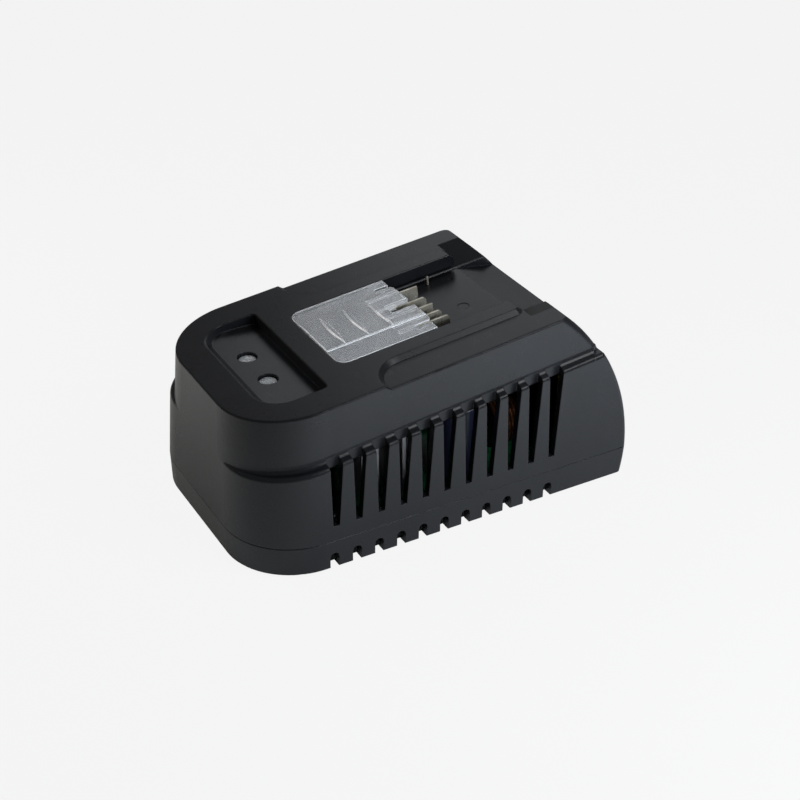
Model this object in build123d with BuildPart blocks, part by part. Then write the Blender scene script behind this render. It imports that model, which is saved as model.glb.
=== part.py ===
"""Battery charger for slide-on tool batteries: a wedge-shaped moulded housing in two shells,
a battery pocket with five contact blades under a clear sliding cover, and the electronics inside.

Millimetres, +Z up, origin on the resting surface under the middle. The deck rises towards +X."""

from math import atan, cos, degrees, radians, sin, sqrt, tan
import os

from build123d import *

os.makedirs("parts", exist_ok=True)

# ---------------------------------------------------------------- driving dimensions

# Housing
housing_length = 139.5  # along X at the parting line
housing_width = 89.5  # along Y at the parting line
half_length = housing_length / 2
half_width = housing_width / 2
foot_proud = 0.8  # rubber feet below the underside
parting_rise = 10.5  # height of the lower shell
ledge_rise = 42.0  # side ledge above the underside, at mid-length
deck_rise = 59.8  # deck above the underside, at mid-length
wedge_slope = 0.115  # rise of ledge and deck per millimetre of length
front_draft = 4.0  # degrees, flat front end
lower_draft = 2.6  # degrees, walls under the ledge
upper_draft = 3.5  # degrees, walls above the ledge
corner_radius = 24.0  # front corners below the ledge, in plan
deck_corner_radius = 24.7  # front corners above the ledge, in plan
end_radius = 66.5  # bulged far end, in side view
end_rise = 2.7  # its fullest height above the parting line
end_corner_radius = 1.5  # upright corners of the far end, below the ledge
end_top_corner_radius = 2.5  # and above it
ledge_width = 3.3
ledge_round = 1.0
foot_radius = 2.0  # height of the hollow round where the upper wall meets the ledge
foot_flare = 1.8  # its reach over the ledge
deck_round = 0.6
wall = 2.5
fit_gap = 0.15  # between parts that are fitted together

# Deck: rails, lowered strips, pocket and entry
cover_half = 19.0
slide_gap = 0.2  # cover to its channel, each side
rim_bevel = 0.3  # on the edges of the channel and the recess
pocket_end = half_length - 31.15
pocket_start = pocket_end - 33.6
pocket_depth = 6.2
rail_width = 6.3
strip_drop = 1.5
strip_step = 1.8  # width of the sloped step down to a strip
rail_end = pocket_end - 2.4
rail_end_radius = 1.5
strip_start = rail_end - 57.0
strip_corner_radius = 11.3
ramp_angle = 14.8  # degrees below the deck's own slope
entry_half = half_width - 14.45
shelf_drop = 5.9  # inner edge of the slanted shelves, below the deck
rail_lip = 4.6  # thickness of the rail over its groove
rail_groove = 2.6  # depth of the groove under the rail, sideways
floor_marks = ((22.5, -4.1, 2.0), (28.2, 14.1, 0.8))  # round marks in the pocket floor, from the pocket's start
mark_depth = 0.15

# Indicator recess
recess_front = 13.65 - half_length
recess_back = 34.95 - half_length
recess_half = half_width - 17.25
recess_ramp = 2.3  # reach of the sloped front wall over the level floor
recess_radius = 10.0
recess_back_radius = 1.5
recess_rise = 51.8  # level floor above the underside
lens_x = 23.35 - half_length
lens_spacing = 16.0
lens_hole_radius = 3.3
lens_radius = 3.05
lens_sink = 0.9  # top of a lens below the floor of the recess
lens_round = 0.4
lens_flange = 1.2
lens_flange_radius = 4.5
light_guide_radius = 2.4
light_guide_length = 3.0
indicator_post_y = lens_spacing
indicator_post_radius = 2.5
indicator_board_width = 12.0
diode_radius = 1.5
diode_height = 2.8
ribbon_width = 6.0
ribbon_thickness = 0.8
ribbon_bow = 4.0

# Vents in the side walls and air notches in the lower shell
vent_count = 11
vent_first = 27.05 - half_length  # upright edge of the first vent
vent_pitch = (housing_length - 59.1) / (vent_count - 1)
vent_foot = 15.8  # above the underside
vent_foot_width = 2.25
vent_lean = 0.105  # how far the sloped edge leans, per millimetre of height
vent_over = 1.6  # how far a vent runs above the ledge
notch_offset = 0.1  # middle of a notch from the upright edge of its vent
notch_width = 3.2
notch_height = 5.7
notch_depth = 4.0

# Clear terminal cover
cover_start = pocket_start - 31.4
cover_end = pocket_start + 4.4
cover_corner_radius = 4.0
cover_thickness = 2.4
cover_edge_drop = 0.05  # side flanges of the cover below the deck
cover_middle_half = 9.75
cover_middle_rise = 0.5
cover_travel = 6.5
tongue_end = pocket_start + 5.2
tongue_half = 13.4
tongue_round = 1.5
tongue_slot = 1.6
tongue_slot_start = pocket_start - 0.8
notch_half = 2.6
cover_notch_start = pocket_start - 3.5
ridge_places = (pocket_start - 24.4, pocket_start - 15.8, pocket_start - 6.7)
ridge_half = 9.6
ridge_bulge = 1.1
ridge_height = 0.5
runner_width = 1.2
runner_height = 0.8
runner_start = pocket_start - 29.3
runner_end = pocket_start - 1.0

# Contact blades, from the far side to the near side: place across, and reach into the pocket
blade_thickness = 0.8
blade_places = (("blade_positive", 9.5, 12.6), ("blade_balance", 1.7, 11.6), ("blade_thermistor", -3.5, 11.2),
                ("blade_identity", -8.7, 11.5), ("blade_negative", -13.0, 12.1))
blade_top = 1.0  # below the deck
blade_foot = 5.6
blade_root = 3.7
blade_tip_radius = 1.2
blade_tail = 2.2
blade_gap = 0.3

# Terminal block
block_start = pocket_start - 13.0
block_half = 15.6
block_depth = 14.0
block_flange = 2.2
block_flange_reach = 4.4
block_screw_x = pocket_start - 6.5
block_screw_y = 18.2

# Sensing pin in the pocket floor
pin_x = pocket_start + 20.2
pin_y = 16.0
pin_radius = 0.45
pin_height = 3.2

# Circuit board
board_thickness = 1.6
board_length = housing_length - 17.5
board_width = housing_width - 11.5
board_neck_length = housing_length - 57.5
board_neck_width = housing_width - 35.5
standoff_height = 5.0
standoff_radius = 3.2
standoff_x = half_length - 33.75
standoff_y = half_width - 11.75

# Screws
column_y = half_width - 10.75
column_places = [(x, y) for x in (21.75 - half_length, half_length - 17.75) for y in (column_y, -column_y)]
column_radius = 4.0
column_foot_rise = 7.5
screw_radius = 1.5
screw_length = 16.0
head_radius = 2.8
head_height = 2.2
head_sink = 4.5
small_screw_radius = 1.1
small_head_radius = 2.1
small_head_height = 1.4
small_screw_length = 5.6

# Lower shell
under_inset = 0.2  # how much narrower the underside is, all round
under_round = 0.6
parting_groove = 0.35
lip_height = 2.0
lip_wall = 1.3

# Rubber feet
foot_x = half_length - 15.75
foot_y = half_width - 26.75
foot_pad_radius = 5.0
foot_sink = 1.5

# Mains inlet in the far end
inlet_width = 20.0
inlet_height = 12.4
inlet_length = 19.0
inlet_setback = 2.4  # face of the inlet behind the end wall
socket_width = 16.2
socket_height = 8.6
socket_depth = 13.0
inlet_pin_spacing = 8.6
inlet_pin_radius = 1.2
inlet_pin_length = 10.0
inlet_pin_root = 4.0

# Mains fuse and filter choke
fuse_x = 0.602 * half_length
fuse_y = 0.447 * half_width
fuse_radius = 2.6
fuse_length = 15.0
choke_x = 0.473 * half_length
choke_y = -0.402 * half_width
choke_outer = 8.0
choke_inner = 4.5
choke_width = 7.0
choke_wire = 1.2

# Transformer
transformer_x = -0.258 * half_length
transformer_y = 0.447 * half_width
transformer_size = 22.0
transformer_height = 20.0
transformer_winding_size = 19.5
transformer_neck = 9.0
bobbin_flange = 1.5
core_thickness = 3.5
core_depth = 12.0

# Heat sinks, with the semiconductor on the flat side: place, and which way the fins point
heat_sinks = (("primary_heat_sink", "switching_transistor", 0.172 * half_length, 0.536 * half_width, 1),
              ("output_heat_sink", "output_rectifier", -0.272 * half_length, -0.536 * half_width, -1))
sink_length = housing_length / 5 - 1.9
sink_plate = 2.0
sink_fin = 8.0
sink_fin_thickness = 1.2
sink_fins = 6
sink_height = 26.0
chip_width = 10.0
chip_height = 15.0
chip_thickness = 4.5
chip_lift = 5.0
chip_pin_pitch = 2.54
chip_pin = 0.8

# Capacitors: radius, height and places
output_row = [(share * half_length, -0.18 * half_width) for share in (-0.516, -0.344, -0.172)]
capacitors = (("bulk_capacitor", 9.0, 28.0, [(0.172 * half_length, -0.581 * half_width)]),
              ("output_capacitors", 5.0, 20.0, output_row))

# Moulded components: place, size along X and Y, and height
board_blocks = (("filter_capacitor", 0.545 * half_length, 4.0, 8.0, 18.0, 14.0),
                ("bridge_rectifier", 0.351 * half_length, 0.0, 4.5, 20.0, 15.0),
                ("optocoupler", 0.229 * half_length, 4.0, 6.5, 4.6, 3.6),
                ("controller_chip", -0.66 * half_length, 0.223 * half_width, 4.0, 10.0, 1.6))

# Leads
lead_radius = 0.8
lead_x = pocket_start - 2.0

# ---------------------------------------------------------------- levels, planes and shared outlines

under_z = foot_proud
part_z = under_z + parting_rise
ledge_z = under_z + ledge_rise
deck_z = under_z + deck_rise
floor_z = under_z + wall
board_z = floor_z + standoff_height
board_top = board_z + board_thickness
column_foot_z = under_z + column_foot_rise
recess_z = under_z + recess_rise
inlet_face = half_length - inlet_setback
indicator_top = recess_z - wall - lens_flange - light_guide_length - diode_height - slide_gap
channel_half = cover_half + slide_gap
shelf_slope = (shelf_drop - strip_drop) / (entry_half - channel_half)
cover_floor = cover_thickness + slide_gap
tub_floor = pocket_depth + wall
deck_plate = strip_drop + wall
beyond = housing_length
tilt = atan(wedge_slope)


def tilted(level):
    """Plane parallel to the deck that passes through this height at mid-length."""
    return Plane(origin=(0, 0, level), x_dir=(cos(tilt), 0, sin(tilt)), z_dir=(-sin(tilt), 0, cos(tilt)))


def front_at(level, slope=0.0):
    """X of the flat front where it meets a plane of this height at mid-length and this slope."""
    draft = tan(radians(front_draft))
    return ((level - part_z) * draft - half_length) / (1 - slope * draft)


def plan(plane, half, front, radius):
    """D-shaped outline: flat front, two round front corners, straight sides that run on to the far end."""
    with BuildSketch(plane, mode=Mode.PRIVATE) as outline:
        with BuildLine():
            Line((front, radius - half), (front, half - radius))
            JernArc((front, half - radius), (0, 1), radius, -90)
            Polyline((front + radius, half), (beyond, half), (beyond, -half), (front + radius, -half))
            JernArc((front + radius, -half), (-1, 0), radius, -90)
        make_face()
    return outline.sketch


def lower_plan(z, inset=0.0):
    """Level section through the walls under the ledge."""
    half = half_width - (z - part_z) * tan(radians(lower_draft))
    return plan(Plane.XY.offset(z), half - inset, front_at(z) + inset, corner_radius - inset)


def foot_half(level):
    """Half the width of the upper walls, on a plane parallel to the deck."""
    ledge_half = half_width - (ledge_z - part_z) * tan(radians(lower_draft))
    return ledge_half - ledge_width - (level - ledge_z) * tan(radians(upper_draft))


def upper_plan(level, inset=0.0, flare=0.0):
    """Section through the walls above the ledge, parallel to the deck. A flare widens the sides only."""
    front = front_at(level, wedge_slope) / cos(tilt)
    return plan(tilted(level), foot_half(level) - inset + flare, front + inset, deck_corner_radius - inset + flare)


def far_x(z):
    """X of the bulged far end at this height."""
    return half_length - end_radius + sqrt(end_radius ** 2 - (z - part_z - end_rise) ** 2)


def far_end(inset=0.0):
    """Side view of what the bulged far end leaves out."""
    centre = (half_length - end_radius, part_z + end_rise)
    with BuildSketch(Plane.XZ, mode=Mode.PRIVATE) as outline:
        with Locations(centre):
            Rectangle(2 * beyond, 2 * end_radius - 2 * inset, align=(Align.MIN, Align.CENTER))
            Circle(end_radius - inset, mode=Mode.SUBTRACT)
    return outline.sketch


def edges_on(part, plane):
    """Edges of a part that lie in a plane."""
    return part.edges().filter_by(lambda e: all(abs(plane.to_local_coords(e @ t).Z) < 0.01 for t in (0, 0.5, 1)))


def bulged(outlines, corner, roof=None):
    """Body between two outlines, cut off by the far end, with the far end's upright corners rounded."""
    with BuildPart(mode=Mode.PRIVATE) as body:
        loft(outlines)
        if roof:
            split(bisect_by=roof, keep=Keep.BOTTOM)
        extrude(far_end(), amount=housing_width, both=True, mode=Mode.SUBTRACT)
        fillet(body.edges().filter_by(lambda e: e.geom_type != GeomType.LINE and (e @ 0.5).X > 0), corner)
    return body.part


def on_rim(edge):
    """Whether an edge tops the outer walls: round the deck, down the steps or along the strips."""
    middle = deck.to_local_coords(edge @ 0.5)
    outside = middle.X < strip_start - fit_gap or abs(middle.Y) > foot_half(deck_z) - fit_gap
    return outside and middle.Z > -strip_drop - fit_gap


deck = tilted(deck_z)
underside = Plane(origin=(0, 0, under_z), x_dir=(1, 0, 0), z_dir=(0, 0, -1))
deck_end = Plane(origin=(0, 0, deck_z), x_dir=(0, 1, 0), z_dir=(cos(tilt), 0, sin(tilt)))
deck_side = Plane(origin=(0, 0, deck_z), x_dir=(cos(tilt), 0, sin(tilt)), z_dir=(0, -1, 0))

# ---------------------------------------------------------------- upper housing

# Walls under the ledge, with the ledge's outer edge rounded.
with BuildPart() as lower_walls:
    add(bulged([lower_plan(part_z), lower_plan(2 * ledge_z)], end_corner_radius, tilted(ledge_z)))
    fillet(edges_on(lower_walls.part, tilted(ledge_z)), ledge_round)

# Hollow round along the ledge, in steps that follow a quarter circle, on a skirt inside the lower walls.
# It ends on a slant at the rounded corners of the far end.
with BuildPart() as ledge_foot:
    loft([upper_plan(ledge_z - 2 * wall, 0, foot_flare), upper_plan(ledge_z, 0, foot_flare)])
    flare_steps = [foot_radius * step for step in (0.0, 0.15, 0.45, 1.0)]
    for low, high in zip(flare_steps, flare_steps[1:]):
        spread = [1 - sqrt(1 - (1 - rise / foot_radius) ** 2) for rise in (low, high)]
        loft([upper_plan(ledge_z + low, 0, foot_flare * spread[0]),
              upper_plan(ledge_z + high, 0, foot_flare * spread[1])])
    extrude(far_end(), amount=housing_width, both=True, mode=Mode.SUBTRACT)
    slant = 2 * foot_flare - (sqrt(2) - 1) * end_top_corner_radius
    with BuildSketch(tilted(ledge_z)):
        with Locations((far_x(ledge_z + wedge_slope * half_length) / cos(tilt), 0)):
            with GridLocations(0, 2 * foot_half(ledge_z) + sqrt(2) * slant, 1, 2):
                with Locations((slant / sqrt(2), 0)):
                    Rectangle(4 * foot_flare, 4 * foot_flare, rotation=45)
    extrude(amount=foot_radius + fit_gap, both=True, mode=Mode.SUBTRACT)

# The strip beside each rail: from a round corner at the outer wall to the entry, with a sloped step.
with BuildPart() as strip_cut:
    for side in (1, -1):
        rail_outer = channel_half + rail_width
        with BuildSketch(deck):
            with BuildLine():
                corner_x = strip_start + strip_corner_radius
                corner_y = rail_outer + strip_corner_radius
                Polyline((strip_start, side * corner_y), (strip_start, side * housing_width),
                         (beyond, side * housing_width), (beyond, -side * channel_half / 2),
                         (rail_end, -side * channel_half / 2), (rail_end, side * (rail_outer - rail_end_radius)))
                JernArc((rail_end, side * (rail_outer - rail_end_radius)), (0, side), rail_end_radius, side * 90)
                Line((rail_end - rail_end_radius, side * rail_outer), (corner_x, side * rail_outer))
                JernArc((corner_x, side * rail_outer), (-1, 0), strip_corner_radius, -side * 90)
            make_face()
        extrude(amount=-strip_drop, taper=degrees(atan(strip_step / strip_drop)))

# Walls above the ledge, with the rim of the deck and of the strips rounded. They start inside the lower walls.
with BuildPart() as upper_walls:
    add(bulged([upper_plan(ledge_z - 2 * wall), upper_plan(deck_z)], end_top_corner_radius))
    add(strip_cut.part, mode=Mode.SUBTRACT)
    fillet(upper_walls.edges().filter_by(on_rim), deck_round)

# Hollow inside, less the material kept round the pocket, the entry, the recess and the screw columns.
with BuildPart() as cavity:
    loft([lower_plan(part_z - wall, wall), lower_plan(deck_z, wall)])
    split(bisect_by=tilted(ledge_z - wall), keep=Keep.BOTTOM)
    loft([upper_plan(ledge_z - 2 * wall, wall), upper_plan(deck_z - deck_plate, wall)])
    extrude(far_end(wall), amount=housing_width, both=True, mode=Mode.SUBTRACT)
    with BuildSketch(deck):
        with Locations((cover_start - slide_gap - wall, 0)):
            Rectangle(pocket_end - cover_start + wall, 2 * (channel_half + rail_width), align=(Align.MIN, Align.CENTER))
    extrude(amount=-tub_floor, mode=Mode.SUBTRACT)
    with BuildSketch(deck_side):
        fall = (beyond - pocket_end) * tan(radians(ramp_angle))
        Polygon((rail_end - wall, 0), (rail_end - wall, -tub_floor), (pocket_end, -tub_floor),
                (beyond, -tub_floor - fall), (beyond, 0), align=None)
    extrude(amount=entry_half + wall, both=True, mode=Mode.SUBTRACT)
    with BuildSketch(Plane.XY.offset(recess_z - wall)):
        with Locations(((recess_front + recess_back) / 2, 0)):
            Rectangle(recess_back - recess_front + 2 * wall, 2 * (recess_half + wall))
    extrude(amount=deck_rise, mode=Mode.SUBTRACT)
    with BuildSketch(Plane.XY):
        with Locations(*column_places):
            Circle(column_radius)
    extrude(amount=2 * deck_z, mode=Mode.SUBTRACT)

# One vent: upright on the front side, leaning on the other, wider towards the ledge.
with BuildPart() as vents:
    for i in range(vent_count):
        edge = vent_first + i * vent_pitch
        foot = under_z + vent_foot
        head = ledge_z + vent_over + wedge_slope * edge
        lean = vent_foot_width + vent_lean * (head - foot)
        with BuildSketch(Plane.XZ):
            Polygon((edge, foot), (edge + vent_foot_width, foot),
                    (edge + lean, head + wedge_slope * lean), (edge, head), align=None)
        extrude(amount=housing_width, both=True)
    with BuildSketch(Plane.XZ):
        Rectangle(2 * beyond, 4 * deck_z)
    extrude(amount=foot_half(ledge_z) + fit_gap, both=True, mode=Mode.SUBTRACT)

# Channel for the cover, pocket for the battery, and the entry with its ramp and slanted shelves.
with BuildPart() as pocket_cut:
    for margin, depth, slant in ((0, cover_floor, 0), (rim_bevel, rim_bevel, 45)):
        with BuildSketch(deck):
            with Locations((cover_start - slide_gap - margin, 0)):
                Rectangle(pocket_end - cover_start, 2 * (channel_half + margin), align=(Align.MIN, Align.CENTER))
            fillet(vertices().group_by(Axis.X)[0], cover_corner_radius + slide_gap + margin)
        extrude(amount=-depth, taper=slant)
    with BuildSketch(deck):
        with Locations((pocket_start, 0)):
            Rectangle(pocket_end - pocket_start, 2 * channel_half, align=(Align.MIN, Align.CENTER))
    extrude(amount=-pocket_depth)
    with BuildSketch(deck_side):
        ramp_fall = (beyond - pocket_end) * tan(radians(ramp_angle))
        Polygon((pocket_end, 0), (pocket_end, -pocket_depth), (beyond, -pocket_depth - ramp_fall),
                (beyond, 0), align=None)
    extrude(amount=channel_half, both=True)
    for side in (1, -1):
        outer = side * (channel_half + rail_groove)
        shelf_edge = ((side * (channel_half + rim_bevel), rim_bevel * shelf_slope - shelf_drop),
                      (side * channel_half, -shelf_drop - rim_bevel), (0, -shelf_drop - rim_bevel))
        with BuildSketch(deck_end.offset(rail_end + strip_step)):
            Polygon((0, 0), (side * entry_half, 0), (side * entry_half, -strip_drop), *shelf_edge, align=None)
        extrude(amount=beyond)
        # The groove under the rail carries the slant of the shelf on.
        with BuildSketch(deck_end.offset(pocket_start + wall)):
            Polygon((0, -rail_lip), (outer, -rail_lip), (outer, rail_groove * shelf_slope - shelf_drop),
                    *shelf_edge, align=None)
        extrude(amount=rail_end + strip_step - pocket_start - wall)
    with BuildSketch(deck.offset(runner_height - cover_floor)):
        with Locations((runner_start - slide_gap, 0)):
            Rectangle(runner_end - runner_start + cover_travel + 2 * slide_gap,
                      2 * (channel_half + runner_width), align=(Align.MIN, Align.CENTER))
    extrude(amount=-runner_height)

# Opening for the terminal block, its screw holes, the hole of the sensing pin and the marks in the floor.
with BuildPart() as block_cut:
    with BuildSketch(deck):
        with Locations((block_start - fit_gap, 0)):
            Rectangle(pocket_start - block_start + fit_gap, 2 * (block_half + fit_gap), align=(Align.MIN, Align.CENTER))
    extrude(amount=-tub_floor)
    with BuildSketch(deck.offset(-tub_floor)):
        with Locations((block_screw_x, block_screw_y), (block_screw_x, -block_screw_y)):
            Circle(small_screw_radius)
    extrude(amount=tub_floor - cover_floor - wall / 2)
    with BuildSketch(deck):
        with Locations((pin_x, pin_y)):
            Circle(pin_radius)
    extrude(amount=-tub_floor)
    with BuildSketch(deck.offset(-pocket_depth)):
        for x, y, radius in floor_marks:
            with Locations((pocket_start + x, y)):
                Circle(radius)
    extrude(amount=-mark_depth)


def recess_plan(plane, front, back, margin=0.0):
    """Outline of the indicator recess, with large corners at its front."""
    with BuildSketch(plane, mode=Mode.PRIVATE) as outline:
        with Locations((front - margin, 0)):
            Rectangle(back - front + 2 * margin, 2 * (recess_half + margin), align=(Align.MIN, Align.CENTER))
        fillet(vertices().group_by(Axis.X)[0], recess_radius + margin)
        fillet(vertices().group_by(Axis.X)[-1], recess_back_radius + margin)
    return outline.sketch


# Indicator recess with a level floor, a sloped front wall and a bevelled rim, and the holes of its two lenses.
rim_front, rim_back = recess_front / cos(tilt), recess_back / cos(tilt)
with BuildPart() as recess_cut:
    loft([recess_plan(Plane.XY.offset(recess_z), recess_front + recess_ramp, recess_back),
          recess_plan(deck, rim_front, rim_back)])
    extrude(recess_plan(deck, rim_front, rim_back), amount=wall)
    extrude(recess_plan(deck, rim_front, rim_back, rim_bevel), amount=fit_gap - rim_bevel, taper=45)
    with BuildSketch(Plane.XY.offset(recess_z)):
        with GridLocations(0, lens_spacing, 1, 2):
            with Locations((lens_x, 0)):
                Circle(lens_hole_radius)
    extrude(amount=-wall)

# Window for the mains inlet, across the parting line.
with BuildPart() as inlet_cut:
    with BuildSketch(Plane.XY.offset(board_top)):
        with Locations((inlet_face - 2 * wall, 0)):
            Rectangle(beyond, inlet_width, align=(Align.MIN, Align.CENTER))
    extrude(amount=inlet_height)

with BuildPart() as upper_housing:
    add(lower_walls.part)
    add(upper_walls.part)
    add(ledge_foot.part)
    add(cavity.part, mode=Mode.SUBTRACT)
    add(pocket_cut.part, mode=Mode.SUBTRACT)
    add(block_cut.part, mode=Mode.SUBTRACT)
    add(recess_cut.part, mode=Mode.SUBTRACT)
    add(vents.part, mode=Mode.SUBTRACT)
    add(inlet_cut.part, mode=Mode.SUBTRACT)
    with BuildSketch(Plane.XY.offset(column_foot_z)):
        with Locations(*column_places):
            Circle(column_radius)
    extrude(amount=part_z + wall - column_foot_z)
    with BuildSketch(Plane.XY.offset(column_foot_z)):
        with Locations(*column_places):
            Circle(screw_radius)
    extrude(amount=screw_length, mode=Mode.SUBTRACT)
    with BuildSketch(Plane.XY.offset(recess_z - wall)):
        with Locations((lens_x, indicator_post_y), (lens_x, -indicator_post_y)):
            Circle(indicator_post_radius)
    extrude(amount=indicator_top - recess_z + wall)
    with BuildSketch(Plane.XY.offset(indicator_top)):
        with Locations((lens_x, indicator_post_y), (lens_x, -indicator_post_y)):
            Circle(small_screw_radius)
    extrude(amount=small_screw_length, mode=Mode.SUBTRACT)
upper_housing.part.label = "upper_housing"
export_step(upper_housing.part, "parts/upper_housing.step")


# ---------------------------------------------------------------- lower housing


def shell_plan(z, inset=0.0):
    """Level section through the lower shell, which narrows a little towards the underside."""
    margin = inset + under_inset * (part_z - z) / parting_rise
    return plan(Plane.XY.offset(z), half_width - margin, margin - half_length, corner_radius - margin)


# Hollow of the tray, and the lip that stands inside the upper housing's wall.
with BuildPart() as tray_hollow:
    loft([shell_plan(floor_z, wall), shell_plan(part_z, wall)])
    extrude(far_end(wall), amount=housing_width, both=True, mode=Mode.SUBTRACT)

with BuildPart() as lip_core:
    loft([shell_plan(part_z - 2 * lip_height, wall + lip_wall), shell_plan(part_z + lip_height, wall + lip_wall)])
    extrude(far_end(wall + lip_wall), amount=housing_width, both=True, mode=Mode.SUBTRACT)

with BuildPart() as lip:
    loft([shell_plan(part_z - lip_height, wall / 2), shell_plan(part_z, wall / 2)])
    loft([lower_plan(part_z, wall + fit_gap), lower_plan(part_z + lip_height, wall + fit_gap)])
    extrude(far_end(wall + fit_gap), amount=housing_width, both=True, mode=Mode.SUBTRACT)
    add(lip_core.part, mode=Mode.SUBTRACT)

with BuildPart() as lower_housing:
    add(bulged([shell_plan(under_z), shell_plan(part_z)], end_corner_radius))
    fillet(edges_on(lower_housing.part, Plane.XY.offset(under_z)), under_round)
    chamfer(edges_on(lower_housing.part, Plane.XY.offset(part_z)), parting_groove)
    add(tray_hollow.part, mode=Mode.SUBTRACT)
    add(lip.part)
    # Stand-offs for the circuit board and wells for the housing screws.
    with BuildSketch(Plane.XY.offset(floor_z)):
        with GridLocations(2 * standoff_x, 2 * standoff_y, 2, 2):
            Circle(standoff_radius)
    extrude(amount=standoff_height)
    with BuildSketch(Plane.XY.offset(floor_z)):
        with Locations(*column_places):
            Circle(column_radius)
    extrude(amount=column_foot_z - floor_z)
    with BuildSketch(Plane.XY.offset(board_z)):
        with GridLocations(2 * standoff_x, 2 * standoff_y, 2, 2):
            Circle(small_screw_radius)
    extrude(amount=board_thickness - small_screw_length, mode=Mode.SUBTRACT)
    with Locations(underside):
        with Locations(*column_places):
            CounterBoreHole(screw_radius + fit_gap, head_radius + 2 * fit_gap, head_sink, column_foot_rise)
    # Seats of the rubber feet, and the window of the mains inlet.
    with BuildSketch(underside):
        with GridLocations(2 * foot_x, 2 * foot_y, 2, 2):
            Circle(foot_pad_radius + fit_gap)
    extrude(amount=-foot_sink, mode=Mode.SUBTRACT)
    add(inlet_cut.part, mode=Mode.SUBTRACT)
    # Air notches with round heads, open at the underside, below the vents.
    for side in (1, -1):
        with BuildSketch(Plane.XZ.offset(-side * half_width)):
            with Locations((vent_first + notch_offset, under_z + notch_height - notch_width / 2)):
                with GridLocations(vent_pitch, 0, vent_count, 1, align=(Align.MIN, Align.CENTER)):
                    Circle(notch_width / 2)
                    Rectangle(notch_width, notch_height, align=(Align.CENTER, Align.MAX))
        extrude(amount=side * notch_depth, mode=Mode.SUBTRACT)
lower_housing.part.label = "lower_housing"
export_step(lower_housing.part, "parts/lower_housing.step")

with BuildPart() as rubber_feet:
    with BuildSketch():
        with GridLocations(2 * foot_x, 2 * foot_y, 2, 2):
            Circle(foot_pad_radius)
    extrude(amount=foot_proud + foot_sink)
    fillet(rubber_feet.edges().group_by(Axis.Z)[0], foot_proud / 2)
rubber_feet.part.label = "rubber_feet"
export_step(rubber_feet.part, "parts/rubber_feet.step")

# ---------------------------------------------------------------- screws


def screws(places, plane, shank, length, head, rise):
    """Pan-head screws standing in a plane: shank along its normal, head behind it, cross recess."""
    with BuildPart(mode=Mode.PRIVATE) as group:
        with BuildSketch(plane):
            with Locations(*places):
                Circle(shank)
        extrude(amount=length)
        with BuildSketch(plane):
            with Locations(*places):
                Circle(head)
        extrude(amount=-rise)
        with BuildSketch(plane.offset(-rise)):
            with Locations(*places):
                Rectangle(1.2 * head, 0.25 * head)
                Rectangle(0.25 * head, 1.2 * head)
        extrude(amount=rise / 2, mode=Mode.SUBTRACT)
    return group.part


housing_screws = screws(column_places, Plane.XY.offset(under_z + head_sink), screw_radius, screw_length,
                        head_radius, head_height)
housing_screws.label = "housing_screws"
export_step(housing_screws, "parts/housing_screws.step")

standoff_places = [(x * standoff_x, y * standoff_y) for x in (1, -1) for y in (1, -1)]
board_top_down = Plane(origin=(0, 0, board_top), x_dir=(1, 0, 0), z_dir=(0, 0, -1))
board_screws = screws(standoff_places, board_top_down, small_screw_radius, small_screw_length,
                      small_head_radius, small_head_height)
board_screws.label = "board_screws"
export_step(board_screws, "parts/board_screws.step")

block_screw_places = [(block_screw_x, block_screw_y), (block_screw_x, -block_screw_y)]
block_screws = screws(block_screw_places, deck.offset(-tub_floor - block_flange), small_screw_radius,
                      block_flange + tub_floor - cover_floor - wall / 2, small_head_radius, small_head_height)
block_screws.label = "terminal_block_screws"
export_step(block_screws, "parts/terminal_block_screws.step")

indicator_places = [(lens_x, indicator_post_y), (lens_x, -indicator_post_y)]
indicator_screws = screws(indicator_places, Plane.XY.offset(indicator_top - board_thickness), small_screw_radius,
                          small_screw_length, small_head_radius, small_head_height)
indicator_screws.label = "indicator_board_screws"
export_step(indicator_screws, "parts/indicator_board_screws.step")

# ---------------------------------------------------------------- terminal cover

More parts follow.
